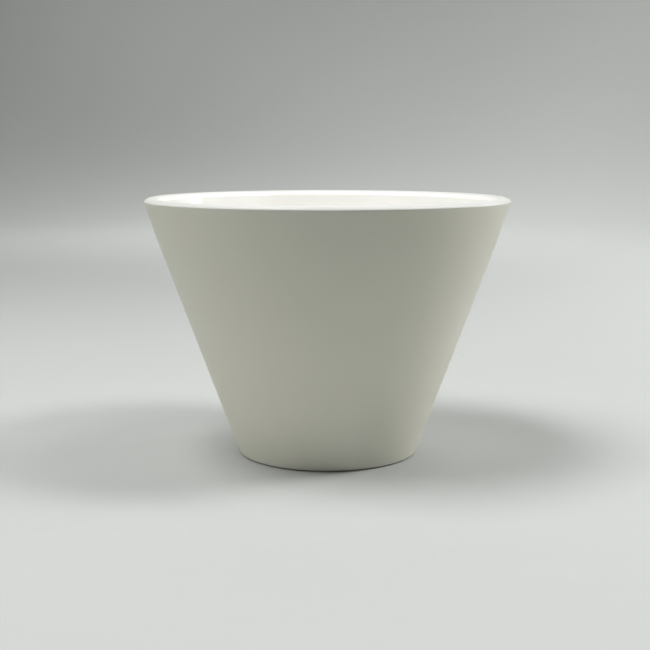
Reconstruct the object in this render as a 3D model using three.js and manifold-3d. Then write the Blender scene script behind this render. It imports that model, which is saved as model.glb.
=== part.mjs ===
// Flat-bottomed pour over coffee dripper: a handleless truncated cone of cast porcelain.
// Millimetres, +Z up. The origin is the centre of the foot ring, on the plane it stands on.
//
// porcelain_body   one fired piece: 70 degree cone wall that steepens a little towards the
//                  rounded lip, floor with six drain holes and six raised ridges, foot ring.
//                  Bare satin bisque outside.
// interior_glaze   the glassy coat inside. It covers the floor, the ridges, the wall and the
//                  top of the lip, and ends on the lip's outer edge.
// paper_filter     fluted flat-bottomed filter paper that the cone holds. It lifts out upwards.

import * as THREE from "three";
import { mergeVertices } from "three/addons/utils/BufferGeometryUtils.js";
import Module from "manifold-3d";

const wasm = await Module();
wasm.setup();

// ---- wall and lip ----
const HEIGHT = 76.3; // bare porcelain, from the table to the top of the lip
const CONE_R = 53.8; // with WALL and SLOPE, sets where the straight part of the wall runs
const SLOPE = THREE.MathUtils.degToRad(70); // wall, from the horizontal
const LEAN = Math.PI / 2 - SLOPE; // wall, from the vertical
const WALL = 3.5; // wall thickness, square to the wall
const LIP_OUT_R = 0.9; // rounding of the lip's outer edge
const LIP_IN_R = 2.2; // rounding of the lip's inner edge
const EASE_FROM = 59; // height from which the wall steepens towards the lip
const EASE = 0.002; // how fast: mm inwards per mm squared above that height
const EASE_RINGS = [72, 68, 64, EASE_FROM]; // heights of the rings where the wall steepens

// ---- floor and foot ----
const FLOOR_UNDER = 3; // height of the recess inside the foot ring
const FLOOR_TOP = 7.5; // upper face of the floor
const FLOOR_FILLET = 4; // inside corner between the floor and the wall
const FOOT_EDGE_R = 0.3; // rounded lower edge of the wall
const FOOT_RELIEF_H = 0.35; // how far that edge stands off the table
const FOOT_RELIEF_W = 1.1; // how far inside the edge the resting ring starts
const FOOT_RELIEF_RUN = 0.1; // slant of the step up from the resting ring
const FOOT_RING_W = 4.6; // from the wall's lower edge to the inside of the foot ring
const FOOT_BEVEL_H = 0.35; // bevel on the foot ring's inner lower edge
const FOOT_BEVEL_IN = 0.1; // its upper end, inwards from the inside of the ring
const FOOT_BEVEL_OUT = 0.3; // its lower end, outwards from there
const RECESS_FILLET = 1.2; // corner between the recess's ceiling and the foot ring
const RECESS_FILLET_IN = 0.6; // how far that fillet stands inside the ring
const RECESS_FILLET_END = 0.25; // angle where it ends, radians above the horizontal

// ---- drains and ridges ----
const DRAIN_COUNT = 6; // there is a ridge midway between each two drains
const DRAIN_R = 2.5;
const DRAIN_CIRCLE_R = 13;
const DRAIN_CUT = { height: 20, middleZ: 5 }; // cutter, longer than the floor is thick
const RIDGE_R = 1.6; // the ridges are half-sunk round bars
const RIDGE_FROM_R = 7; // a bar's straight part starts here; its round ends reach beyond
const RIDGE_TO_R = 17; // and the straight part ends here

// ---- glaze ----
const GLAZE_NEAR = 0.05; // gap between the porcelain and the coat's solid
const GLAZE = 0.2; // thickness of the coat
const GLAZE_FAR = GLAZE_NEAR + GLAZE; // from the porcelain to the coat's free surface
const GLAZE_EDGE = THREE.MathUtils.degToRad(35); // where the coat ends, on the lip's outer edge
const GLAZE_SLAB = { width: 80, height: 10 }; // takes in all of the ridges above the floor

// ---- filter ----
const FLUTES = 20;
const PAPER = 0.5; // solid thickness of the filter
const FILTER_LIFT = 0.4; // between the glazed ridges and the filter
const FILTER_BASE_Z = FLOOR_TOP + RIDGE_R + GLAZE_FAR + FILTER_LIFT; // its underside
const FILTER_H = 50;
const FILTER_TOP_Z = FILTER_BASE_Z + FILTER_H;
const FILTER_WALL_GAP = 0.9; // between the glazed wall and the crests of the flutes
const FLUTE_LOW = 1.5; // depth of the flutes, half of crest to trough, at the base
const FLUTE_HIGH = 2.4; // and at the top edge
// the bend from the flat base to the fluted wall, measured from the base's rim
const BEND_W = 1.6;
const BEND_H = 2.4;
const BEND_OUTSIDE = { out: 1.1, up: 0.7 }; // middle point of the bend, on the underside
const BEND_INSIDE = { out: 0.6, up: 0.75 }; // and on the upper side
const BASE_TOP_INSET = 0.2; // the base's upper face is this much smaller in radius

// ---- facets ----
const TURN_SEGMENTS = 72; // round a turned piece
const LIP_OUT_STEPS = 4; // from the outermost point of the lip, or the coat's end, to its top
const LIP_UNDER_STEPS = 2; // from the outer wall to the outermost point of the lip
const LIP_IN_STEPS = 5;
const FLOOR_FILLET_STEPS = 4;
const RECESS_FILLET_STEPS = 4;
const FOOT_EDGE_STEPS = 3;
const DRAIN_SEGMENTS = 24;
const RIDGE_END_STEPS = 4;
const RIDGE_SEGMENTS = 16;
const FLUTE_STEPS = 6; // facets to a flute
const WELD = 1e-4; // vertices closer than this are joined

// ---- turned profiles: x is the radius, y is the height ----
const point = (radius, z) => new THREE.Vector2(radius, z);

const arc = (centre, radius, from, to, steps) =>
  Array.from({ length: steps + 1 }, (_, i) => {
    const angle = from + ((to - from) * i) / steps;
    return point(centre.x + radius * Math.cos(angle), centre.y + radius * Math.sin(angle));
  });

// a point on the middle of the straight wall, and those square to it on the wall's two faces
const wallNormal = point(Math.sin(SLOPE), -Math.cos(SLOPE));
const wallMid = point(CONE_R - WALL / 2, HEIGHT - WALL / 2);
const outerPoint = wallMid.clone().addScaledVector(wallNormal, WALL / 2);
const innerPoint = wallMid.clone().addScaledVector(wallNormal, -WALL / 2);

// what a thickness square to the wall measures along the radius
const acrossWall = (thickness) => thickness / Math.sin(SLOPE);

// radius of the outside of the straight wall at a height
const outerR = (z) => outerPoint.x + (z - outerPoint.y) / Math.tan(SLOPE);
// radius of the inside of the straight wall at a height, moved into the hollow by offset
const innerR = (z, offset = 0) =>
  innerPoint.x + (z - innerPoint.y) / Math.tan(SLOPE) - acrossWall(offset);

// centre of a rounding inside the outer wall and tangent to it
const outerRoundCentre = (z, radius) => point(outerR(z) - acrossWall(radius), z);

// centres of the lip's two edges, each tangent to its side of the wall and to the top
const lipOutCentre = outerRoundCentre(HEIGHT - LIP_OUT_R, LIP_OUT_R);
const lipInZ = HEIGHT - LIP_IN_R;
const lipInCentre = point(innerR(lipInZ) + acrossWall(LIP_IN_R), lipInZ);

// centre of the floor's fillet, FLOOR_FILLET from the floor and from the wall
const filletZ = FLOOR_TOP + FLOOR_FILLET;
const filletCentre = point(innerR(filletZ, FLOOR_FILLET), filletZ);

// The inside of the cone from the lip's outer edge to the axis, moved into the hollow by
// offset. It starts at the angle lipFrom on that edge.
const hollow = (offset, lipFrom) => [
  ...arc(lipOutCentre, LIP_OUT_R + offset, lipFrom, Math.PI / 2, LIP_OUT_STEPS),
  ...arc(lipInCentre, LIP_IN_R + offset, Math.PI / 2, Math.PI - LEAN, LIP_IN_STEPS),
  ...EASE_RINGS.map((z) => point(innerR(z, offset), z)),
  ...arc(filletCentre, FLOOR_FILLET - offset, -LEAN, -Math.PI / 2, FLOOR_FILLET_STEPS),
  point(0, FLOOR_TOP + offset),
];

// bends a straight cone's profile inwards near its top
const eased = (profile) =>
  profile.map(({ x, y }) => point(x - EASE * Math.max(0, y - EASE_FROM) ** 2, y));

// ---- geometry and solids ----
// the lathe turns about Y, so the result is stood up along Z
const turned = (profile, segments) =>
  new THREE.LatheGeometry(profile, segments).rotateX(Math.PI / 2);

// Makes a Manifold of a closed geometry, turning its faces over if they point inwards.
function solid(geometry) {
  // normals and texture coordinates would keep seams from welding
  geometry.deleteAttribute("normal");
  geometry.deleteAttribute("uv");
  const welded = mergeVertices(geometry, WELD);
  const vertProperties = new Float32Array(welded.attributes.position.array);
  const triVerts = new Uint32Array(welded.index.array);
  const build = () =>
    new wasm.Manifold(new wasm.Mesh({ numProp: 3, vertProperties, triVerts }));

  const made = build();
  if (made.volume() > 0) return made;
  for (let i = 0; i < triVerts.length; i += 3) {
    [triVerts[i + 1], triVerts[i + 2]] = [triVerts[i + 2], triVerts[i + 1]];
  }
  return build();
}

function geometryOf(manifold) {
  const mesh = manifold.getMesh();
  const positions = new Float32Array(mesh.vertProperties);
  const geometry = new THREE.BufferGeometry();
  geometry.setAttribute("position", new THREE.BufferAttribute(positions, 3));
  geometry.setIndex(new THREE.BufferAttribute(new Uint32Array(mesh.triVerts), 1));
  geometry.computeVertexNormals();
  return geometry;
}

// ---- drains and ridges ----
// one solid for each drain; shift turns them all by that share of the pitch
const spaced = (shift, makeGeometry) =>
  Array.from({ length: DRAIN_COUNT }, (_, i) =>
    solid(makeGeometry().rotateZ((2 * Math.PI * (i + shift)) / DRAIN_COUNT)),
  );

const drainCutters = () =>
  Array.from({ length: DRAIN_COUNT }, (_, i) => {
    const angle = (2 * Math.PI * i) / DRAIN_COUNT;
    const x = DRAIN_CIRCLE_R * Math.cos(angle);
    const y = DRAIN_CIRCLE_R * Math.sin(angle);
    return solid(
      new THREE.CylinderGeometry(DRAIN_R, DRAIN_R, DRAIN_CUT.height, DRAIN_SEGMENTS)
        .rotateX(Math.PI / 2)
        .translate(x, y, DRAIN_CUT.middleZ),
    );
  });

const ridgeBars = (grow) =>
  spaced(0.5, () =>
    new THREE.CapsuleGeometry(
      RIDGE_R + grow,
      RIDGE_TO_R - RIDGE_FROM_R,
      RIDGE_END_STEPS,
      RIDGE_SEGMENTS,
    )
      .rotateZ(-Math.PI / 2) // lies along X
      .translate((RIDGE_FROM_R + RIDGE_TO_R) / 2, 0, FLOOR_TOP),
  );

// ---- the fired porcelain ----
function porcelain() {
  const footOut = outerR(0);
  const ringIn = footOut - FOOT_RING_W;
  const restOut = footOut - FOOT_RELIEF_W;
  const recessCentre = point(
    ringIn - RECESS_FILLET - RECESS_FILLET_IN,
    FLOOR_UNDER - RECESS_FILLET,
  );
  // level underneath and tangent to the wall
  const edgeCentre = outerRoundCentre(FOOT_RELIEF_H + FOOT_EDGE_R, FOOT_EDGE_R);

  // from the axis out along the underside, up the outside and back down the hollow
  const profile = [
    point(0, FLOOR_UNDER),
    ...arc(recessCentre, RECESS_FILLET, Math.PI / 2, RECESS_FILLET_END, RECESS_FILLET_STEPS),
    point(ringIn - FOOT_BEVEL_IN, FOOT_BEVEL_H),
    point(ringIn + FOOT_BEVEL_OUT, 0),
    point(restOut, 0),
    point(restOut + FOOT_RELIEF_RUN, FOOT_RELIEF_H),
    ...arc(edgeCentre, FOOT_EDGE_R, -Math.PI / 2, -LEAN, FOOT_EDGE_STEPS),
    ...EASE_RINGS.map((z) => point(outerR(z), z)).reverse(),
    // the hollow starts with this arc's last point
    ...arc(lipOutCentre, LIP_OUT_R, -LEAN, 0, LIP_UNDER_STEPS).slice(0, -1),
    ...hollow(0, 0),
  ];
  let body = solid(turned(eased(profile), TURN_SEGMENTS));
  for (const bar of ridgeBars(0)) body = body.add(bar);
  for (const cutter of drainCutters()) body = body.subtract(cutter);
  return body;
}

// ---- the glassy coat ----
function glaze() {
  // against the porcelain on the way in, and its free surface on the way back
  const near = hollow(GLAZE_NEAR, GLAZE_EDGE);
  const far = hollow(GLAZE_FAR, GLAZE_EDGE).reverse();
  let coat = solid(turned(eased([...near, ...far, near[0]]), TURN_SEGMENTS));

  // only the half of a ridge's bar above the floor's porcelain is coated
  const { width, height } = GLAZE_SLAB;
  const aboveFloor = solid(
    new THREE.BoxGeometry(width, width, height).translate(
      0,
      0,
      FLOOR_TOP + GLAZE_NEAR + height / 2,
    ),
  );
  for (const bar of ridgeBars(GLAZE_FAR)) coat = coat.add(bar.intersect(aboveFloor));
  for (const bar of ridgeBars(GLAZE_NEAR)) coat = coat.subtract(bar);
  for (const cutter of drainCutters()) coat = coat.subtract(cutter);
  return coat;
}

// ---- the fluted filter paper ----
const fluteDepth = (z) =>
  FLUTE_LOW + ((FLUTE_HIGH - FLUTE_LOW) * (z - FILTER_BASE_Z)) / FILTER_H;

// radius midway between the crests and the troughs, on the paper's outside
const filterMidR = (z) => innerR(z, GLAZE_FAR + FILTER_WALL_GAP) - fluteDepth(z);

// Waves everything outside the flat base in and out, building up across the bend.
function flute(geometry, baseR) {
  const position = geometry.attributes.position;
  for (let i = 0; i < position.count; i++) {
    const x = position.getX(i);
    const y = position.getY(i);
    const z = position.getZ(i);
    const radius = Math.hypot(x, y);
    if (radius <= baseR) continue;
    const share = Math.min((radius - baseR) / BEND_W, 1);
    const wave = Math.cos(FLUTES * Math.atan2(y, x));
    const scale = 1 + (share * fluteDepth(z) * wave) / radius;
    position.setXYZ(i, x * scale, y * scale, z);
  }
  return geometry;
}

function filter() {
  const wallFromZ = FILTER_BASE_Z + BEND_H;
  const baseTopZ = FILTER_BASE_Z + PAPER;
  const baseR = filterMidR(wallFromZ) - BEND_W;
  const paperAcross = acrossWall(PAPER);
  const profile = [
    point(0, FILTER_BASE_Z),
    point(baseR, FILTER_BASE_Z),
    point(baseR + BEND_OUTSIDE.out, FILTER_BASE_Z + BEND_OUTSIDE.up),
    point(filterMidR(wallFromZ), wallFromZ),
    point(filterMidR(FILTER_TOP_Z), FILTER_TOP_Z),
    point(filterMidR(FILTER_TOP_Z) - paperAcross, FILTER_TOP_Z),
    point(filterMidR(wallFromZ) - paperAcross, wallFromZ),
    point(baseR + BEND_INSIDE.out, baseTopZ + BEND_INSIDE.up),
    point(baseR - BASE_TOP_INSET, baseTopZ),
    point(0, baseTopZ),
  ];
  return solid(flute(turned(profile, FLUTES * FLUTE_STEPS), baseR));
}

// ---- materials ----
const finish = (settings) => new THREE.MeshStandardMaterial(settings);
const bisque = finish({ name: "bisque", color: 0xe9e6dd, roughness: 0.55 });
const gloss = finish({ name: "clear_glaze", color: 0xf4f2ea, roughness: 0.08 });
const paper = finish({ name: "filter_paper", color: 0xf7f4ec, roughness: 0.9 });

// ---- the scene graph ----
function part(name, manifold, material) {
  const mesh = new THREE.Mesh(geometryOf(manifold), material);
  mesh.name = name;
  return mesh;
}

function group(name, ...children) {
  const made = new THREE.Group();
  made.name = name;
  return made.add(...children);
}

export default group(
  "pour_over_dripper",
  group(
    "dripper",
    part("porcelain_body", porcelain(), bisque),
    part("interior_glaze", glaze(), gloss),
  ),
  group("filter", part("paper_filter", filter(), paper)),
);
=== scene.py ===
"""Looks for the pour over dripper: a porcelain cone, its glaze and its fluted filter paper.

The cone stands on its foot and opens upwards: metres, +Z up, origin at the centre of the foot
ring. The camera looks along +Y, so -Y is the front and -X is the left.
Piece sizes are in millimetres, and turn into metres when a mesh is made. Materials, lights and
the camera are in metres.
"""

import math

import bmesh
import bpy
import numpy as np
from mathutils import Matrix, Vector


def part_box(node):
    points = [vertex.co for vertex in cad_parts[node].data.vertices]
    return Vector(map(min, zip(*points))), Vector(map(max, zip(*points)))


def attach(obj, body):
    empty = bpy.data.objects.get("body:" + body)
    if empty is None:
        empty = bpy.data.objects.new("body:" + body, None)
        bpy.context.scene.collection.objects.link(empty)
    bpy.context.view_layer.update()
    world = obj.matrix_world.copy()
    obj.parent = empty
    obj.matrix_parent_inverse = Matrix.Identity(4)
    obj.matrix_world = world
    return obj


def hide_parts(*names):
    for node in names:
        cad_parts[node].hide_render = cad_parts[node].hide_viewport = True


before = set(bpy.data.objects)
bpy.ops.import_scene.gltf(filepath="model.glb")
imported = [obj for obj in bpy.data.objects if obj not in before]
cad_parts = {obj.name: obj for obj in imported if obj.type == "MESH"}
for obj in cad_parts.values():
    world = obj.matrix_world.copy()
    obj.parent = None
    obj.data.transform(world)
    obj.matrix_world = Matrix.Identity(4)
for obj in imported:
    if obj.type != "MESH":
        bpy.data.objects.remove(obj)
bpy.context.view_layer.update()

MM = 0.001
TAU = 2.0 * math.pi

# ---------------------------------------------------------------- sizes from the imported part
body_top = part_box("porcelain_body")[1].z
coat_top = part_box("interior_glaze")[1].z
paper_lo, paper_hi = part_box("paper_filter")

HEIGHT = body_top / MM  # bare porcelain at the top of the lip
COAT = (coat_top - body_top) / MM  # how far the glaze's surface stands off
PAPER_Z0 = paper_lo.z / MM
PAPER_Z1 = paper_hi.z / MM

# ---------------------------------------------------------------- wall, lip, floor and foot
SLOPE = math.radians(70.0)
LEAN = math.pi / 2 - SLOPE
CONE_R = 53.8  # with WALL and SLOPE, sets where the straight part of the wall runs
WALL = 3.5
HALF = WALL / 2
LIP_OUT_R = 0.9
LIP_IN_R = 2.2
EASE_FROM = 59.0  # height from which the wall steepens towards the lip
EASE = 0.002
FLOOR_UNDER = 3.0
FLOOR_TOP = 7.5
FLOOR_FILLET = 4.0
UNDER_FLAT_R = 19.4  # flat discs that hold the holes, under and on top of the floor
TOP_FLAT_R = 22.4
FOOT_EDGE_R = 0.3
FOOT_RELIEF_H = 0.35
FOOT_RELIEF_W = 1.1
FOOT_RING_W = 4.6
CAST = 0.05  # unevenness of the cast radius at the lip

# ---------------------------------------------------------------- holes and ridges of the floor
DRAINS = 6
DRAIN_CIRCLE = 13.0
BORE_BODY, BORE_COAT, BORE_BACK = 2.56, 2.44, 2.52  # porcelain, glaze surface, glaze back
UNDER_MOUTH_R, UNDER_ROUND = 3.06, 0.5  # a hole's rounded edge under the floor
TOP_MOUTH_R, TOP_BORE_Z = 3.24, 6.95  # its edge on top, and where the bore ends below it
RIDGE_FROM, RIDGE_TO = 7.0, 17.0
RIDGE_H = 1.6
RIDGE_SUNK = 0.1  # depth of the round bar's axis below the floor

ARC = 48  # edges of one sixth of a turn
SIDE = 44  # edges from the floor's rim to its centre, along a ridge
ROUND = [-math.pi / DRAINS + TAU * j / (ARC * DRAINS) for j in range(ARC * DRAINS)]

# ---------------------------------------------------------------- glaze
COAT_EDGE = math.radians(4.0)  # where the thin film ends, on the lip's outer arc
COAT_GROWS = math.radians(62.0)  # where on that arc the film starts to thicken
COAT_GROWTH = 1.1  # length over which it thickens
COAT_BACK = 0.04  # gap between the porcelain and the coat's hidden back

# ---------------------------------------------------------------- paper
FLUTES = 20
FLUTE_STEPS = 24
PAPER_THICK = 0.24
PAPER_GAP = 0.9 + COAT  # from the porcelain to the flutes' crests
FLUTE_DEEP, FLUTE_DEEPENS = 1.5, 0.9  # half depth at the base, and its growth to the top
CREASE_H = 1.5
CREASE_STEPS = 8
CREASE_FLUTE = 0.55  # share of the full flutes at the top of the crease
FLUTE_FULL = 5.0  # height above the crease at which flutes are full
TOP_EDGE_H = 8.0  # height of the band over which the top edge turns uneven

# share of the base's radius, divisor of the segments, rise of the slight dome
BASE_RINGS = [
    (1.00, 1, 0.00), (0.93, 1, 0.02), (0.86, 2, 0.04),
    (0.76, 2, 0.07), (0.66, 4, 0.10), (0.52, 4, 0.13),
    (0.38, 8, 0.15), (0.22, 8, 0.16), (0.08, 8, 0.16),
]


# ---------------------------------------------------------------- profiles, as (radius, z) points
def wall_radius(z, offset):
    """Radius at height z of the line offset outward from the straight wall's middle."""
    return CONE_R - HALF + offset / math.sin(SLOPE) + (z - HEIGHT + HALF) / math.tan(SLOPE)


def eased(line):
    """Bends a straight cone's profile inwards near its top."""
    return [np.array([x - EASE * max(0.0, z - EASE_FROM) ** 2, z]) for x, z in line]


def on_arc(centre, radius, angle):
    return centre + radius * np.array([math.cos(angle), math.sin(angle)])


def unit(vector):
    return vector / np.linalg.norm(vector)


def rounded(corners, steps=8):
    """A polyline through (r, z, radius) corners with each corner turned into a true arc.
    A fourth number is that corner's own step count."""
    line = []
    for i, (x, z, radius, *own_steps) in enumerate(corners):
        corner = np.array([x, z], float)
        if i in (0, len(corners) - 1):
            line.append(corner)
            continue
        back = unit(np.array(corners[i - 1][:2], float) - corner)
        ahead = unit(np.array(corners[i + 1][:2], float) - corner)
        half_angle = math.acos(max(-1, min(1, float(back @ ahead)))) / 2
        cut = radius / math.tan(half_angle)
        centre = corner + unit(back + ahead) * (radius / math.sin(half_angle))
        start, end = corner + back * cut - centre, corner + ahead * cut - centre
        angle = math.atan2(start[1], start[0])
        turn = math.atan2(end[1], end[0]) - angle
        turn = (turn + math.pi) % TAU - math.pi
        count = own_steps[0] if own_steps else steps
        line += [on_arc(centre, radius, angle + turn * j / count) for j in range(count + 1)]
    return line


def spread(line, longest):
    """Adds points so that no step of a polyline is longer than longest."""
    made = [line[0]]
    for point in line[1:]:
        last = made[-1]
        count = max(1, math.ceil(np.linalg.norm(point - last) / longest))
        made += [last + (point - last) * (j / count) for j in range(1, count + 1)]
    return made


# ---------------------------------------------------------------- mesh building
class Shell:
    """Collects vertices (mm) and faces, then makes one mesh object."""

    def __init__(self):
        self.points, self.faces = [], []

    def add(self, x, y, z):
        self.points.append((float(x), float(y), float(z)))
        return len(self.points) - 1

    def ring(self, radius, z, angles):
        return [self.add(radius * math.cos(t), radius * math.sin(t), z) for t in angles]

    def face(self, *corners):
        """Drops repeated corners, so that a quad at a pole becomes a triangle."""
        self.faces.append(tuple(dict.fromkeys(corners)))

    def bridge(self, first, second):
        for i in range(len(first)):
            j = (i + 1) % len(first)
            self.face(first[i], first[j], second[j], second[i])

    def bridge_all(self, rings, flip=False):
        for first, second in zip(rings, rings[1:]):
            if flip:
                self.bridge(second, first)
            else:
                self.bridge(first, second)

    def make(self, name, material, move=None):
        points = np.array(self.points, float)
        if move is not None:
            points = move(points)
        mesh = bpy.data.meshes.new(name)
        mesh.from_pydata((points * MM).tolist(), [], self.faces)
        mesh.validate()
        mesh.update()
        # every face wound the same way round, facing outwards
        bm = bmesh.new()
        bm.from_mesh(mesh)
        bmesh.ops.recalc_face_normals(bm, faces=bm.faces)
        if bm.calc_volume(signed=True) < 0:
            bmesh.ops.reverse_faces(bm, faces=bm.faces)
        bm.to_mesh(mesh)
        bm.free()
        for polygon in mesh.polygons:
            polygon.use_smooth = True
        mesh.materials.append(material)
        made = bpy.data.objects.new(name, mesh)
        bpy.context.scene.collection.objects.link(made)
        return made


# ---------------------------------------------------------------- the drained floor
def ridge_height(x, y):
    """Height of the six ridges over the floor: a round bar's top with a soft fillet at its foot."""
    bar = RIDGE_H + RIDGE_SUNK
    meet = math.radians(60)  # angle on the bar, from its top, where the fillet takes over
    bar_reach = bar * math.sin(meet)
    fillet = (bar * math.cos(meet) - RIDGE_SUNK) / (1 - math.cos(meet))
    foot_reach = bar_reach + fillet * math.sin(meet)
    height = 0.0
    for k in range(DRAINS):
        angle = TAU * (k + 0.5) / DRAINS
        along = x * math.cos(angle) + y * math.sin(angle)
        across = -x * math.sin(angle) + y * math.cos(angle)
        past_end = along - min(max(along, RIDGE_FROM), RIDGE_TO)
        off = math.hypot(past_end, across)
        if off < bar_reach:
            height = max(height, math.sqrt(bar * bar - off * off) - RIDGE_SUNK)
        elif off < foot_reach:
            height = max(height, fillet - math.sqrt(fillet**2 - (foot_reach - off) ** 2))
    return height


def raise_ridges(shell, radius, z):
    """Lifts the points of the flat disc at height z onto the ridges."""
    for i, (x, y, point_z) in enumerate(shell.points):
        if abs(point_z - z) < 1e-6 and x * x + y * y < radius * radius + 1e-6:
            shell.points[i] = (x, y, point_z + ridge_height(x, y))


def drain_centre(k):
    return on_arc(np.zeros(2), DRAIN_CIRCLE, TAU * k / DRAINS)


def floor_grid(shell, rim, radius, z, mouth_r, bore_r, bore_z, edge_steps, flat_steps):
    """One face of the floor with its six round holes, as six sets of rings that grow from each
    hole to its sixth of the floor. rim holds the ids of the floor's outer circle. The hole's edge
    is rounded: it starts on the bore at bore_r, bore_z and ends on the floor at mouth_r.
    Returns the ids of each hole's bore circle."""
    centre = shell.add(0, 0, z)
    sides = []
    for k in range(DRAINS):
        angle = TAU * (k + 0.5) / DRAINS
        radii = [radius * (1 - j / SIDE) for j in range(1, SIDE)]
        sides.append([shell.add(r * math.cos(angle), r * math.sin(angle), z) for r in radii])
    bores = []
    for k in range(DRAINS):
        arc = [rim[(k * ARC + j) % len(rim)] for j in range(ARC + 1)]
        bound = arc + sides[k] + [centre] + sides[k - 1][::-1]
        hole = drain_centre(k)
        reach = np.array([shell.points[i][:2] for i in bound]) - hole
        far = np.hypot(reach[:, 0], reach[:, 1])
        ways = reach / far[:, None]
        rings = []
        for i in range(edge_steps + 1):
            angle = math.pi / 2 * i / edge_steps
            ring_r = mouth_r - (mouth_r - bore_r) * math.cos(angle)
            ring_z = bore_z + (z - bore_z) * math.sin(angle)
            rings.append([shell.add(*(hole + way * ring_r), ring_z) for way in ways])
        for i in range(1, flat_steps):
            radii = mouth_r + (far - mouth_r) * (i / flat_steps)
            rings.append([shell.add(*(hole + way * r), z) for way, r in zip(ways, radii)])
        rings.append(bound)
        shell.bridge_all(rings)
        bores.append(rings[0])
    return bores


def bore(shell, circle, k, path):
    """Hole k's wall: copies of its bore circle at the (radius, z) stations of path."""
    hole = drain_centre(k)
    ways = np.array([shell.points[i][:2] for i in circle]) - hole
    ways /= np.hypot(ways[:, 0], ways[:, 1])[:, None]
    rings = [circle]
    for radius, z in path:
        rings.append([shell.add(*(hole + way * radius), z) for way in ways])
    shell.bridge_all(rings)
    return rings[-1]


# ---------------------------------------------------------------- slight unevenness
def cylindrical(points):
    x, y, z = points.T
    return np.arctan2(y, x), np.hypot(x, y), z


def push_out(points, amount):
    """Moves points away from the axis."""
    scale = 1 + amount / np.maximum(np.hypot(points[:, 0], points[:, 1]), 1e-6)
    return points * np.column_stack([scale, scale, np.ones_like(scale)])


def uneven(points):
    """Radius changes by a few hundredths of a millimetre, as a cast and fired cone's does."""
    turn, radius, z = cylindrical(points)
    height = np.clip(z / HEIGHT, 0, 1)
    oval = 0.6 * np.cos(2 * turn + 0.7)
    three = 0.25 * np.cos(3 * turn + 2.1)
    five = 0.15 * np.cos(5 * turn + 4.0)
    amount = CAST * height * height * (oval + three + five)
    return push_out(points, amount * np.clip((radius - 20) / 6, 0, 1))


def wavy(points):
    """The cast's unevenness and the glaze's own ripples, which fade at the floor and the lip."""
    points = uneven(points)
    turn, radius, z = cylindrical(points)
    # height in mm, times a cross of two waves; then two slanted waves
    ripple = 0.012 * np.sin(7 * turn + 0.21 * z + 0.4) * np.sin(0.33 * z + 1.1)
    ripple += 0.010 * np.sin(11 * turn - 0.16 * z + 2.0)
    ripple += 0.008 * np.sin(0.47 * z + 3 * turn)
    fade = np.clip((radius - 24) / 4, 0, 1) * np.clip((HEIGHT - 3 - z) / 5, 0, 1)
    return push_out(points, ripple * fade)


# ---------------------------------------------------------------- shader nodes
class Nodes:
    """Short ways to add nodes to a tree. A value is a number, a tuple or a socket to link."""

    def __init__(self, tree, coords="Object"):
        self.tree = tree
        self.coords = self.add("ShaderNodeTexCoord", {}).outputs[coords]

    def feed(self, node, inputs):
        for key, value in inputs.items():
            socket = node.inputs[key]
            if isinstance(value, bpy.types.NodeSocket):
                self.tree.links.new(value, socket)
            elif isinstance(value, tuple) and socket.type == "RGBA":
                socket.default_value = (*value, 1.0)
            else:
                socket.default_value = value

    def add(self, kind, inputs, **settings):
        node = self.tree.nodes.new(kind)
        for key, value in settings.items():
            setattr(node, key, value)
        self.feed(node, inputs)
        return node

    def surface(self, inputs):
        self.feed(self.tree.nodes["Principled BSDF"], inputs)

    def axis(self, name):
        return self.add("ShaderNodeSeparateXYZ", {0: self.coords}).outputs[name]

    def noise(self, scale, detail=2.0, rough=0.5, stretch=None):
        at = self.coords
        if stretch is not None:
            at = self.add("ShaderNodeVectorMath", {0: at, 1: stretch}, operation="MULTIPLY")
            at = at.outputs[0]
        inputs = {"Scale": scale, "Detail": detail, "Roughness": rough, "Vector": at}
        return self.add("ShaderNodeTexNoise", inputs).outputs["Fac"]

    def remap(self, value, span, to, smooth=False):
        inputs = {
            "From Min": span[0],
            "From Max": span[1],
            "To Min": to[0],
            "To Max": to[1],
            "Value": value,
        }
        kind = "SMOOTHSTEP" if smooth else "LINEAR"
        node = self.add("ShaderNodeMapRange", inputs, interpolation_type=kind)
        return node.outputs["Result"]

    def maths(self, operation, first, second):
        return self.add("ShaderNodeMath", {0: first, 1: second}, operation=operation).outputs[0]

    def blend(self, factor, first, second, kind="MIX"):
        inputs = {0: factor, 6: first, 7: second}
        return self.add("ShaderNodeMix", inputs, data_type="RGBA", blend_type=kind).outputs[2]

    def bump(self, height, distance, base=None):
        inputs = {"Strength": 1.0, "Distance": distance, "Height": height}
        if base is not None:
            inputs["Normal"] = base
        return self.add("ShaderNodeBump", inputs).outputs["Normal"]


def new_material(name):
    material = bpy.data.materials.new(name)
    material.use_nodes = True
    return material, Nodes(material.node_tree)


def tint(colour, red, green, blue):
    return (colour[0] * red, colour[1] * green, colour[2] * blue)


# ---------------------------------------------------------------- materials
BISQUE = (0.750, 0.738, 0.634)
SPECK = (0.42, 0.36, 0.28)
GLAZE = (0.925, 0.922, 0.875)
PAPER = (0.76, 0.747, 0.70)
SWEEP = (0.448, 0.462, 0.4475)
FRONT_PAINTED_SHADE = 0.6  # brightness left in the sweep's colour at its front, a painted shade
FRONT_ROOM = 0.4  # and in the room in front

PORCELAIN_DEPTH = {
    "Subsurface Weight": 0.08,
    "Subsurface Radius": (1.0, 0.9, 0.7),
    "Subsurface Scale": 0.0012,
}


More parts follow.
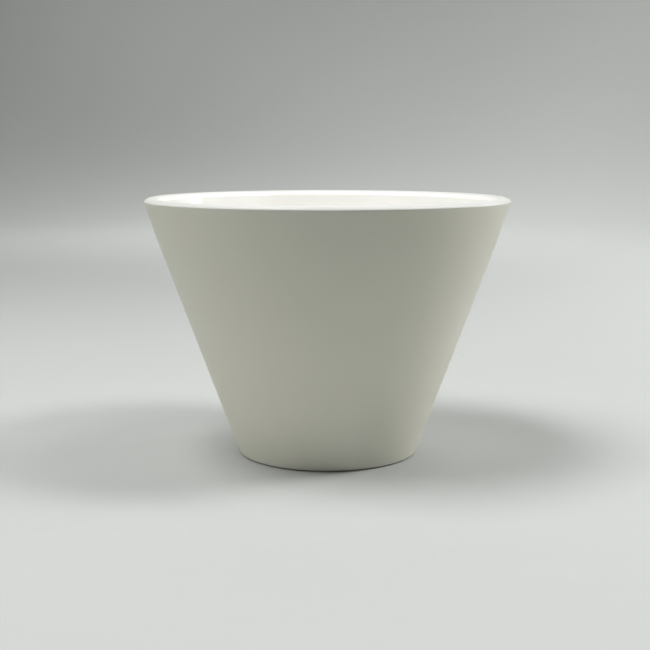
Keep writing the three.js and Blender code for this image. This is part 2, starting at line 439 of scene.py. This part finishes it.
def bisque_porcelain():
    """Bare, sanded porcelain: warm white, satin, with a fine dry grain."""
    material, nodes = new_material("bisque_porcelain")
    cloud = nodes.noise(scale=22.0, detail=3.0, rough=0.55)
    fine = nodes.noise(scale=900.0, detail=2.0, rough=0.6)
    grain = nodes.noise(scale=4200.0, detail=3.0, rough=0.7)
    clouded = nodes.remap(cloud, span=(0.3, 0.7), to=(0, 1))
    dim, bright = tint(BISQUE, 0.985, 0.985, 0.975), tint(BISQUE, 1.01, 1.01, 1.02)
    tone = nodes.blend(clouded, dim, bright)
    dusted = nodes.remap(fine, span=(0.35, 0.65), to=(0, 0.05))
    tone = nodes.blend(dusted, tone, tint(BISQUE, 0.93, 0.93, 0.93))
    # rare tiny iron specks, a quarter of a millimetre across
    cells = nodes.add("ShaderNodeTexVoronoi", {"Scale": 150.0, "Vector": nodes.coords})
    lot = nodes.add("ShaderNodeSeparateColor", {0: cells.outputs["Color"]}).outputs[0]
    near = nodes.maths("LESS_THAN", cells.outputs["Distance"], 0.018)
    rare = nodes.maths("GREATER_THAN", lot, 0.985)
    speck = nodes.maths("MULTIPLY", near, rare)
    tone = nodes.blend(nodes.maths("MULTIPLY", speck, 0.35), tone, SPECK)
    # painted light and shade: lighter towards the foot and darker towards the lip, standing in for
    # bounce light off the floor and the dark room in front
    painted_bounce_light = nodes.remap(nodes.axis("Z"), span=(0.016, 0.076), to=(1.02, 0.88), smooth=True)
    tone = nodes.blend(1.0, tone, painted_bounce_light, kind="MULTIPLY")
    relief = nodes.bump(grain, distance=0.000012)
    relief = nodes.bump(fine, distance=0.00002, base=relief)
    broad = nodes.noise(scale=60.0)
    nodes.surface({
        "Base Color": tone,
        "Roughness": nodes.remap(cloud, span=(0.3, 0.7), to=(0.50, 0.56)),
        "IOR": 1.5,
        **PORCELAIN_DEPTH,
        "Normal": nodes.bump(broad, distance=0.00006, base=relief),
    })
    return material


def clear_glaze():
    """A clear glassy coat over white porcelain, a little uneven, and cooler where it pools."""
    material, nodes = new_material("clear_glaze")
    height = nodes.axis("Z")

    def near_lip(start, end, to):
        """A value that changes between two depths (mm) below the bare lip's top."""
        span = ((HEIGHT - start) * MM, (HEIGHT - end) * MM)
        return nodes.remap(height, span=span, to=to, smooth=True)

    pool = nodes.remap(height, span=(0.0086, 0.0135), to=(1.0, 0.0), smooth=True)
    pool = nodes.maths("MULTIPLY", pool, 0.35)
    tone = nodes.blend(pool, GLAZE, tint(GLAZE, 0.94, 0.985, 0.985))
    clouded = nodes.remap(nodes.noise(scale=30.0), span=(0.35, 0.65), to=(0, 0.35))
    tone = nodes.blend(clouded, tone, tint(GLAZE, 0.985, 0.985, 0.985))
    # painted shade: the coat's colour is dimmed over the lip, where the top lights fall strongest,
    # and the coat turns satin there
    painted_lip_shade = near_lip(start=0.8, end=-0.05, to=(1.0, 0.66))
    tone = nodes.blend(1.0, tone, painted_lip_shade, kind="MULTIPLY")
    gloss = nodes.remap(nodes.noise(scale=45.0), span=(0.3, 0.7), to=(0.05, 0.09))
    satin = near_lip(start=2.6, end=0.7, to=(0.0, 0.30))
    relief = nodes.bump(nodes.noise(scale=420.0, detail=1.0), distance=0.000008)
    broad = nodes.noise(scale=110.0, detail=1.5)
    nodes.surface({
        "Base Color": tone,
        "Roughness": nodes.maths("ADD", gloss, satin),
        "Specular IOR Level": near_lip(start=1.8, end=0.4, to=(0.5, 0.18)),
        "IOR": 1.52,
        **PORCELAIN_DEPTH,
        "Normal": nodes.bump(broad, distance=0.00004, base=relief),
    })
    return material


def filter_paper():
    """Bleached filter paper: soft, matte and fibrous, with a fine crepe."""
    material, nodes = new_material("filter_paper")
    cloud = nodes.noise(scale=120.0, detail=4.0, rough=0.6)
    fibre = nodes.noise(scale=1600.0, detail=3.0, rough=0.65, stretch=(1.0, 1.0, 0.35))
    clouded = nodes.remap(cloud, span=(0.3, 0.7), to=(0, 1))
    tone = nodes.blend(clouded, tint(PAPER, 0.97, 0.97, 0.97), PAPER)
    fibrous = nodes.remap(fibre, span=(0.45, 0.75), to=(0, 0.25))
    tone = nodes.blend(fibrous, tone, tint(PAPER, 0.9, 0.88, 0.84))
    crepe = nodes.noise(scale=700.0, stretch=(0.45, 0.45, 1.6))
    relief = nodes.bump(fibre, distance=0.00003)
    nodes.surface({
        "Base Color": tone,
        "Roughness": 0.92,
        "Specular IOR Level": 0.25,
        "Sheen Weight": 0.12,
        "Sheen Roughness": 0.6,
        "Subsurface Weight": 0.35,
        "Subsurface Radius": (1.0, 0.95, 0.85),
        "Subsurface Scale": 0.0006,
        "Normal": nodes.bump(crepe, distance=0.00007, base=relief),
    })
    return material


def pale_sweep():
    """The seamless sweep that the object stands on."""
    material, nodes = new_material("pale_sweep")
    cloud = nodes.remap(nodes.noise(scale=6.0, detail=3.0), span=(0.3, 0.7), to=(0, 1))
    tone = nodes.blend(cloud, tint(SWEEP, 0.99, 0.99, 0.99), SWEEP)
    mottle = nodes.noise(scale=90.0, detail=6.0, rough=0.75)
    mottle = nodes.remap(mottle, span=(0.3, 0.7), to=(0, 1))
    tone = nodes.blend(mottle, tone, tint(SWEEP, 0.975, 0.975, 0.975))
    # painted shade: the sweep's colour darkens towards the front, standing in for the dark room
    # there, behind the camera
    painted_front_shade = nodes.remap(nodes.axis("Y"), span=(-0.90, -0.20), to=(FRONT_PAINTED_SHADE, 1.0), smooth=True)
    nodes.surface({
        "Base Color": nodes.blend(painted_front_shade, (0.0, 0.0, 0.0), tone),
        "Roughness": 0.85,
        "Specular IOR Level": 0.3,
        "Normal": nodes.bump(nodes.noise(scale=1800.0, detail=3.0), distance=0.00002),
    })
    return material


# ---------------------------------------------------------------- the porcelain body
def porcelain_body(material):
    shell = Shell()
    foot_out = wall_radius(0, HALF)
    foot_in = foot_out - FOOT_RING_W
    relief_r = foot_out - FOOT_RELIEF_W
    # radius, z, corner radius and steps, from under the floor, round the foot and over the lip
    line = rounded([
        (UNDER_FLAT_R, FLOOR_UNDER, 0),
        (foot_in - 0.52, FLOOR_UNDER, 1.2),
        (foot_in + 0.02, 0.0, 0.45),
        (relief_r, 0.0, 0.12, 4),
        (relief_r + 0.06, FOOT_RELIEF_H, 0.12, 4),
        (wall_radius(FOOT_RELIEF_H, HALF), FOOT_RELIEF_H, FOOT_EDGE_R, 8),
        (wall_radius(HEIGHT, HALF), HEIGHT, LIP_OUT_R, 16),
        (wall_radius(HEIGHT, -HALF), HEIGHT, LIP_IN_R, 12),
        (wall_radius(FLOOR_TOP, -HALF), FLOOR_TOP, FLOOR_FILLET, 12),
        (TOP_FLAT_R, FLOOR_TOP, 0),
    ])
    rings = [shell.ring(radius, z, ROUND) for radius, z in eased(spread(line, 1.6))]
    shell.bridge_all(rings)
    low = floor_grid(
        shell, rings[0], radius=UNDER_FLAT_R, z=FLOOR_UNDER, mouth_r=UNDER_MOUTH_R,
        bore_r=BORE_BODY, bore_z=FLOOR_UNDER + UNDER_ROUND, edge_steps=5, flat_steps=12,
    )
    high = floor_grid(
        shell, rings[-1], radius=TOP_FLAT_R, z=FLOOR_TOP, mouth_r=TOP_MOUTH_R,
        bore_r=BORE_BODY, bore_z=TOP_BORE_Z, edge_steps=4, flat_steps=12,
    )
    raise_ridges(shell, TOP_FLAT_R, FLOOR_TOP)
    for k in range(DRAINS):
        end = bore(shell, low[k], k, [(BORE_BODY, z) for z in (4.1, 4.8, 5.5, 6.2)])
        shell.bridge(end, high[k])
    return shell.make("porcelain_body_fine", material, move=uneven)


# ---------------------------------------------------------------- the glaze
def coat_line(offset, film, steps):
    """The coat's line at offset from the porcelain, from its edge on the lip's outside to the
    floor. It runs over the lip's outer edge as a thin film, and thickens across the top."""
    out_z, in_z = HEIGHT - LIP_OUT_R, HEIGHT - LIP_IN_R
    lip_out = np.array([wall_radius(out_z, HALF - LIP_OUT_R), out_z])
    lip_in = np.array([wall_radius(in_z, LIP_IN_R - HALF), in_z])
    fillet_z = FLOOR_TOP + FLOOR_FILLET
    fillet = np.array([wall_radius(fillet_z, -HALF - FLOOR_FILLET), fillet_z])

    def depth(run):
        share = min(1.0, max(0.0, run / COAT_GROWTH))
        return film + (offset - film) * share * share * (3 - 2 * share)

    line = []
    for j in range(steps + 1):
        angle = COAT_EDGE + (math.pi / 2 - COAT_EDGE) * j / steps
        radius = LIP_OUT_R + depth(LIP_OUT_R * (angle - COAT_GROWS))
        line.append(on_arc(lip_out, radius, angle))
    for j in range(1, 8):
        run = (lip_out[0] - lip_in[0]) * j / 8
        thick = depth(LIP_OUT_R * (math.pi / 2 - COAT_GROWS) + run)
        line.append(np.array([lip_out[0] - run, HEIGHT + thick]))
    for j in range(steps + 1):
        line.append(on_arc(lip_in, LIP_IN_R + offset, math.pi / 2 + SLOPE * j / steps))
    for j in range(steps):
        line.append(on_arc(fillet, FLOOR_FILLET - offset, -LEAN - SLOPE * j / (steps - 1)))
    line.append(np.array([TOP_FLAT_R, FLOOR_TOP + offset]))
    return line


def interior_glaze(material):
    shell = Shell()
    seen = eased(spread(coat_line(COAT, film=0.04, steps=18), 0.9))
    back = eased(spread(coat_line(COAT_BACK, film=0.015, steps=9), 3.0))
    seen_rings = [shell.ring(radius, z, ROUND) for radius, z in seen]
    back_rings = [shell.ring(radius, z, ROUND) for radius, z in back]
    shell.bridge_all(seen_rings)
    shell.bridge_all(back_rings, flip=True)
    shell.bridge(back_rings[0], seen_rings[0])

    def coat_floor(rim, z, bore_r, edge_steps, flat_steps):
        holes = floor_grid(
            shell, rim, TOP_FLAT_R, z, TOP_MOUTH_R, bore_r, TOP_BORE_Z, edge_steps, flat_steps
        )
        raise_ridges(shell, TOP_FLAT_R, z)
        return holes

    seen_holes = coat_floor(
        seen_rings[-1], z=FLOOR_TOP + COAT, bore_r=BORE_COAT, edge_steps=7, flat_steps=22
    )
    back_holes = coat_floor(
        back_rings[-1], z=FLOOR_TOP + COAT_BACK, bore_r=BORE_BACK, edge_steps=3, flat_steps=10
    )
    # radius and z down each hole, where the coat thins out against the bore
    seen_path = [(BORE_COAT, z) for z in (6.2, 5.4, 4.7)]
    seen_path += [(BORE_COAT + 0.02, 4.2), (BORE_COAT + 0.06, 3.9), (BORE_BODY - 0.01, 3.72)]
    back_path = [(BORE_BACK, 5.5), (BORE_BACK, 4.2), (BORE_BACK + 0.02, 3.85)]
    for k in range(DRAINS):
        seen_end = bore(shell, seen_holes[k], k, seen_path)
        back_end = bore(shell, back_holes[k], k, back_path)
        shell.bridge(seen_end, back_end)
    return shell.make("interior_glaze_fine", material, move=wavy)


# ---------------------------------------------------------------- the fluted paper
def crest_radius(z):
    return wall_radius(z, -HALF - PAPER_GAP)


def flute_depth(z):
    """Half the flutes' depth at height z."""
    return FLUTE_DEEP + FLUTE_DEEPENS * (z - PAPER_Z0) / (PAPER_Z1 - PAPER_Z0)


def by_flute(angles, table):
    """A value per flute, blended smoothly from one flute to the next."""
    place = (angles / TAU * FLUTES) % FLUTES
    i = np.floor(place).astype(int)
    share = place - i
    share = share * share * (3 - 2 * share)
    return table[i % FLUTES] * (1 - share) + table[(i + 1) % FLUTES] * share


def paper_wall(angles, base_r):
    """The middle of the sheet above its flat base, as (radii, heights, slope) rows."""
    rng = np.random.RandomState(11)
    size = 1 + 0.06 * (rng.rand(FLUTES) - 0.5)
    shift = 0.012 * (rng.rand(FLUTES) - 0.5)
    tall = 0.30 * (rng.rand(FLUTES) - 0.5)
    phase = FLUTES * (angles + by_flute(angles, shift))
    wave = np.cos(phase) + 0.07 * np.cos(3 * FLUTES * angles)
    wave = wave * by_flute(angles, size)
    bottom = PAPER_Z0 + CREASE_H
    wall_r = crest_radius(bottom) - flute_depth(bottom)
    rows = []
    # a quarter-round crease from the flat base to the wall's first row
    for i in range(1, CREASE_STEPS):
        share = i / CREASE_STEPS
        slope = share * math.pi / 2
        radius = base_r + (wall_r - base_r) * math.sin(slope)
        z = PAPER_Z0 + CREASE_H * (1 - math.cos(slope))
        flutes = wave * flute_depth(bottom) * share**1.6 * CREASE_FLUTE
        rows.append((radius + flutes, np.full(len(angles), z), slope))
    # close rows in the lowest 6 mm, then wider ones up to the top edge
    low_rows = np.linspace(bottom, PAPER_Z0 + 6, 7)
    high_rows = np.linspace(PAPER_Z0 + 6, PAPER_Z1, 34)[1:]
    for z in np.concatenate([low_rows, high_rows]):
        full = min(1.0, CREASE_FLUTE + (1 - CREASE_FLUTE) * (z - bottom) / FLUTE_FULL)
        radii = crest_radius(z) - flute_depth(z) + wave * flute_depth(z) * full
        edge = max(0.0, (z - (PAPER_Z1 - TOP_EDGE_H)) / TOP_EDGE_H) ** 2
        rows.append((radii, z + by_flute(angles, tall) * edge - 0.15 * edge, SLOPE))
    return rows


def paper_filter(material):
    """One sheet with two sides: a flat base, a pressed crease, and twenty flutes."""
    shell = Shell()
    count = FLUTES * FLUTE_STEPS
    angles = np.array([TAU * j / count for j in range(count)])
    base_z = PAPER_Z0 + 2.4  # the base's rim is set in from the wall at this height
    base_r = crest_radius(base_z) - flute_depth(base_z) - 1.5
    wall = paper_wall(angles, base_r)

    def sheet(side):
        """One face of the sheet: side is +1 for the hollow's, -1 for the wall's.
        Returns the ids of its top ring."""

        def face(*corners):
            shell.face(*(corners if side < 0 else corners[::-1]))

        lift = PAPER_THICK / 2 * (1 + side)
        flat = []
        for share, divisor, rise in BASE_RINGS:
            segments = count // divisor
            ring_angles = [TAU * j / segments for j in range(segments)]
            flat.append(shell.ring(base_r * share, PAPER_Z0 + lift + rise, ring_angles))
        for outer, inner in zip(flat, flat[1:]):
            if len(outer) == len(inner):
                shell.bridge_all([outer, inner], flip=side > 0)
                continue
            # three triangles per inner edge, where the segments halve
            for j in range(len(inner)):
                here, after = inner[j], inner[(j + 1) % len(inner)]
                middle, end = outer[2 * j + 1], outer[(2 * j + 2) % len(outer)]
                face(outer[2 * j], middle, here)
                face(middle, after, here)
                face(middle, end, after)
        pole = shell.add(0, 0, PAPER_Z0 + lift + BASE_RINGS[-1][2])
        shell.bridge_all([flat[-1], [pole] * len(flat[-1])], flip=side > 0)

        rings = [flat[0]]
        off = side * PAPER_THICK / 2
        for radii, heights, slope in wall:
            # the sheet's normal leans with the wall
            radii = radii - off * math.sin(slope)
            heights = heights + PAPER_THICK / 2 + off * math.cos(slope)
            rings.append([
                shell.add(r * math.cos(t), r * math.sin(t), z)
                for r, t, z in zip(radii, angles, heights)
            ])
        shell.bridge_all(rings, flip=side < 0)
        return rings[-1]

    hollow_top = sheet(1)
    wall_top = sheet(-1)
    shell.bridge(hollow_top, wall_top)
    return shell.make("paper_filter_fine", material)


bisque_mat = bisque_porcelain()
glaze_mat = clear_glaze()
paper_mat = filter_paper()

body = porcelain_body(bisque_mat)
coat = interior_glaze(glaze_mat)
paper = paper_filter(paper_mat)

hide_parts("porcelain_body")
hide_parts("interior_glaze")
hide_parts("paper_filter")
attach(body, "dripper")
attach(coat, "dripper")
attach(paper, "filter")


# ---------------------------------------------------------------- stage
FLAT_RADII = [0.001, 60.0, 120.0, 200.0, 300.0, 400.0, 500.0, 600.0, 700.0, 850.0, 1000.0]
SWEEP_ANGLES = 240
CURVE_STEPS, CURVE_LENGTH = 60, 1000.0
WALL_STEPS, WALL_STEP = 10, 120.0
WALL_SLOPE = math.radians(82.0)


def curve_share(angle):
    """1 behind and at the sides, 0 straight in front (-Y)."""
    off_front = abs((math.degrees(angle) - 270.0 + 180.0) % 360.0 - 180.0)
    share = min(1.0, max(0.0, (off_front - 20.0) / 45.0))
    return share * share * (3 - 2 * share)


def sweep():
    """A seamless floor that curves up into a wall behind and at both sides, and stays flat in
    front. Its slope grows smoothly, so no line shows where the curve starts or ends."""
    shell = Shell()
    angles = [TAU * j / SWEEP_ANGLES for j in range(SWEEP_ANGLES)]
    shares = [curve_share(t) for t in angles]
    rings = [shell.ring(radius, 0.0, angles) for radius in FLAT_RADII]
    ends = [np.array([FLAT_RADII[-1], 0.0]) for _ in angles]
    for i in range(CURVE_STEPS + WALL_STEPS):
        slope, step = WALL_SLOPE, WALL_STEP
        if i < CURVE_STEPS:
            along = (i + 0.5) / CURVE_STEPS
            slope = WALL_SLOPE * along * along * (3 - 2 * along)
            step = CURVE_LENGTH / CURVE_STEPS
        ends = [on_arc(end, step, slope * share) for end, share in zip(ends, shares)]
        rings.append([
            shell.add(radius * math.cos(t), radius * math.sin(t), z)
            for (radius, z), t in zip(ends, angles)
        ])
    shell.bridge_all(rings)
    return shell.make("sweep", pale_sweep())


sweep()

# ---------------------------------------------------------------- lights
LAMP_FAR = 0.85
LAMP_AIM_Z = 0.03

# Soft ovals LAMP_FAR from the object, facing it:
# name, azimuth from +X and elevation in degrees, width and height in metres, watts.
LAMPS = [
    ("left_key_front", 218, 72, 0.24, 0.24, 1.78),
    ("left_key_back", 174, 72, 0.24, 0.24, 1.98),
    ("left_key_low", 176, 60, 0.24, 0.24, 0.92),
    ("left_key_side", 202, 60, 0.24, 0.24, 1.52),
    ("left_panel", 224, 27, 0.50, 0.30, 0.27),
    ("left_edge", 190, 14, 0.24, 0.24, 0.82),
    ("right_key", 354, 54, 0.24, 0.24, 3.54),
    ("right_key_high", 8, 70, 0.24, 0.24, 0.96),
    ("right_panel", 331, 27, 0.40, 0.30, 0.25),
    ("right_edge", 25, 14, 0.24, 0.24, 1.74),
    ("back_panel", 90, 50, 0.60, 0.30, 0.57),
]

# Spots behind the object that light the sweep: name, place, aim, cone in degrees, watts.
SWEEP_SPOTS = [
    ("sweep_left", (-0.3, 0.5, 1.1), (-0.2, 1.1, 0.15), 75, 13.5),
    ("sweep_middle", (0.3, 0.5, 1.1), (0.2, 1.1, 0.15), 75, 14.4),
    ("sweep_right", (0.9, 0.2, 0.9), (0.6, 0.6, 0.0), 75, 39.8),
    ("floor_left", (-0.25, 0.95, 0.8), (-0.25, 0.95, 0.0), 70, 6.7),
    ("floor_middle", (0.1, 0.95, 0.8), (0.1, 0.95, 0.0), 70, 5.8),
    ("floor_back", (0.2, 1.3, 0.9), (0.2, 1.3, 0.0), 70, 6.5),
    ("floor_back_right", (0.6, 1.3, 0.9), (0.6, 1.3, 0.0), 70, 7.0),
    ("wall_left", (-0.2, 0.9, 0.9), (-0.2, 1.7, 0.6), 80, 6.2),
    ("wall_right", (0.5, 0.9, 0.9), (0.6, 1.7, 0.6), 80, 13.2),
]


def aimed(name, data, place, aim):
    light = bpy.data.objects.new(name, data)
    light.location = place
    light.rotation_euler = (Vector(aim) - Vector(place)).to_track_quat("-Z", "Y").to_euler()
    light.visible_camera = False
    bpy.context.scene.collection.objects.link(light)
    return light


for name, azimuth, elevation, width, height, watts in LAMPS:
    data = bpy.data.lights.new(name, "AREA")
    data.shape = "ELLIPSE"
    data.size, data.size_y = width, height
    data.energy = watts
    turn, rise = math.radians(azimuth), math.radians(elevation)
    x = LAMP_FAR * math.cos(turn) * math.cos(rise)
    y = LAMP_FAR * math.sin(turn) * math.cos(rise)
    z = LAMP_FAR * math.sin(rise) + LAMP_AIM_Z
    aimed(name, data, (x, y, z), aim=(0, 0, LAMP_AIM_Z))

for name, place, aim, cone, watts in SWEEP_SPOTS:
    data = bpy.data.lights.new(name, "SPOT")
    data.spot_size = math.radians(cone)
    data.spot_blend = 1.0
    data.shadow_soft_size = 0.15
    data.energy = watts
    aimed(name, data, place, aim).visible_glossy = False

world = bpy.data.worlds.new("studio")
world.use_nodes = True
room = Nodes(world.node_tree, coords="Generated")
# the room is dark in front, behind the camera
room_light = room.remap(room.axis("Y"), span=(-0.8, -0.2), to=(FRONT_ROOM, 1.0), smooth=True)
room.feed(world.node_tree.nodes["Background"], {"Color": room_light, "Strength": 0.150})
bpy.context.scene.world = world

# ---------------------------------------------------------------- camera
CAMERA_TILT = 8.75  # degrees below level

cam_data = bpy.data.cameras.new("camera")
cam_data.sensor_width = 36.0
cam_data.lens = 65.076923
cam_data.shift_x = -0.0038461538
cam_data.clip_start = 0.01
cam_data.clip_end = 20.0
cam = bpy.data.objects.new("camera", cam_data)
cam.location = (0.0, -0.350, 0.092)
cam.rotation_euler = (math.radians(90.0 - CAMERA_TILT), 0.0, 0.0)
bpy.context.scene.collection.objects.link(cam)
bpy.context.scene.camera = cam

view = bpy.context.scene.view_settings
view.view_transform = "Standard"
view.look = "None"
view.exposure = 0.0
view.gamma = 1.0
